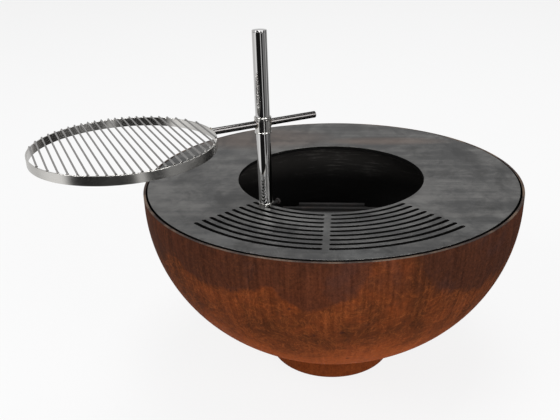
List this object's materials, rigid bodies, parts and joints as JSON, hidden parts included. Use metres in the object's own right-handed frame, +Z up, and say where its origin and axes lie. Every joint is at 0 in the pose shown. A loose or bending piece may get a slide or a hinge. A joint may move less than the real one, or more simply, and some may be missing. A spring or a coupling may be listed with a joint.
{
  "type": "fire pit with grate",
  "caption": "Rusted steel fire bowl on a ring base with a flat slotted cooking plate, a fire grate inside and a round swinging grill on a post.",
  "frame": {"origin": "centre of the base ring's lower edge, on the floor under the axis of the bowl", "axes": "+Z up along the axis of the bowl; -Y towards the slotted front of the cooking plate"},
  "size_m": [1.1321, 1.0784, 0.956],
  "materials": {
    "corten": "rusted weathering steel",
    "seasoned_plate": "oiled, seasoned carbon steel",
    "black_iron": "sooty black steel",
    "zinc_steel": "zinc plated",
    "polished_stainless": "polished stainless tube",
    "dark_stainless": "satin stainless tube",
    "brushed_stainless": "brushed flat bar",
    "wire_stainless": "bright drawn wire"
  },
  "bodies": {
    "base": {"bowl": "corten", "base_ring": "corten", "drain_collar": "corten", "drain_plug": "zinc_steel", "plate_brackets": "corten", "levelling_screws": "zinc_steel", "levelling_nuts": "zinc_steel"},
    "plate": {"cooking_plate": "seasoned_plate", "locating_lugs": "seasoned_plate"},
    "grate": {"grate_ring": "black_iron", "grate_bars": "black_iron", "grate_stand": "black_iron"},
    "post": {"post_tube": "polished_stainless", "post_cap": "polished_stainless", "post_foot": "polished_stainless", "clamp_screw": "zinc_steel"},
    "height_ring": {"friction_ring": "polished_stainless"},
    "grill": {"swivel_sleeve": "polished_stainless", "arm_tube": "dark_stainless", "handle_tube": "dark_stainless", "grill_band": "brushed_stainless", "grill_wires": "wire_stainless"}
  },
  "joints": [
    {"name": "plate_lift", "type": "slide", "parent": "base", "child": "plate", "axis": [0, 0, 1], "range_m": [0, 0.12]},
    {"name": "grate_lift", "type": "slide", "parent": "base", "child": "grate", "axis": [0, 0, 1], "range_m": [0, 0.11]},
    {"name": "post_travel", "type": "hinge", "parent": "plate", "child": "post", "pos_m": [0, 0, 0.536], "axis": [0, 0, 1], "range_deg": [-2.5, 30]},
    {"name": "grill_height", "type": "slide", "parent": "post", "child": "height_ring", "axis": [0, 0, 1], "range_m": [-0.172, 0.188]},
    {"name": "grill_swing", "type": "hinge", "parent": "height_ring", "child": "grill", "pos_m": [-0.15251, -0.20312, 0.736], "axis": [0, 0, 1], "continuous": true}
  ]
}
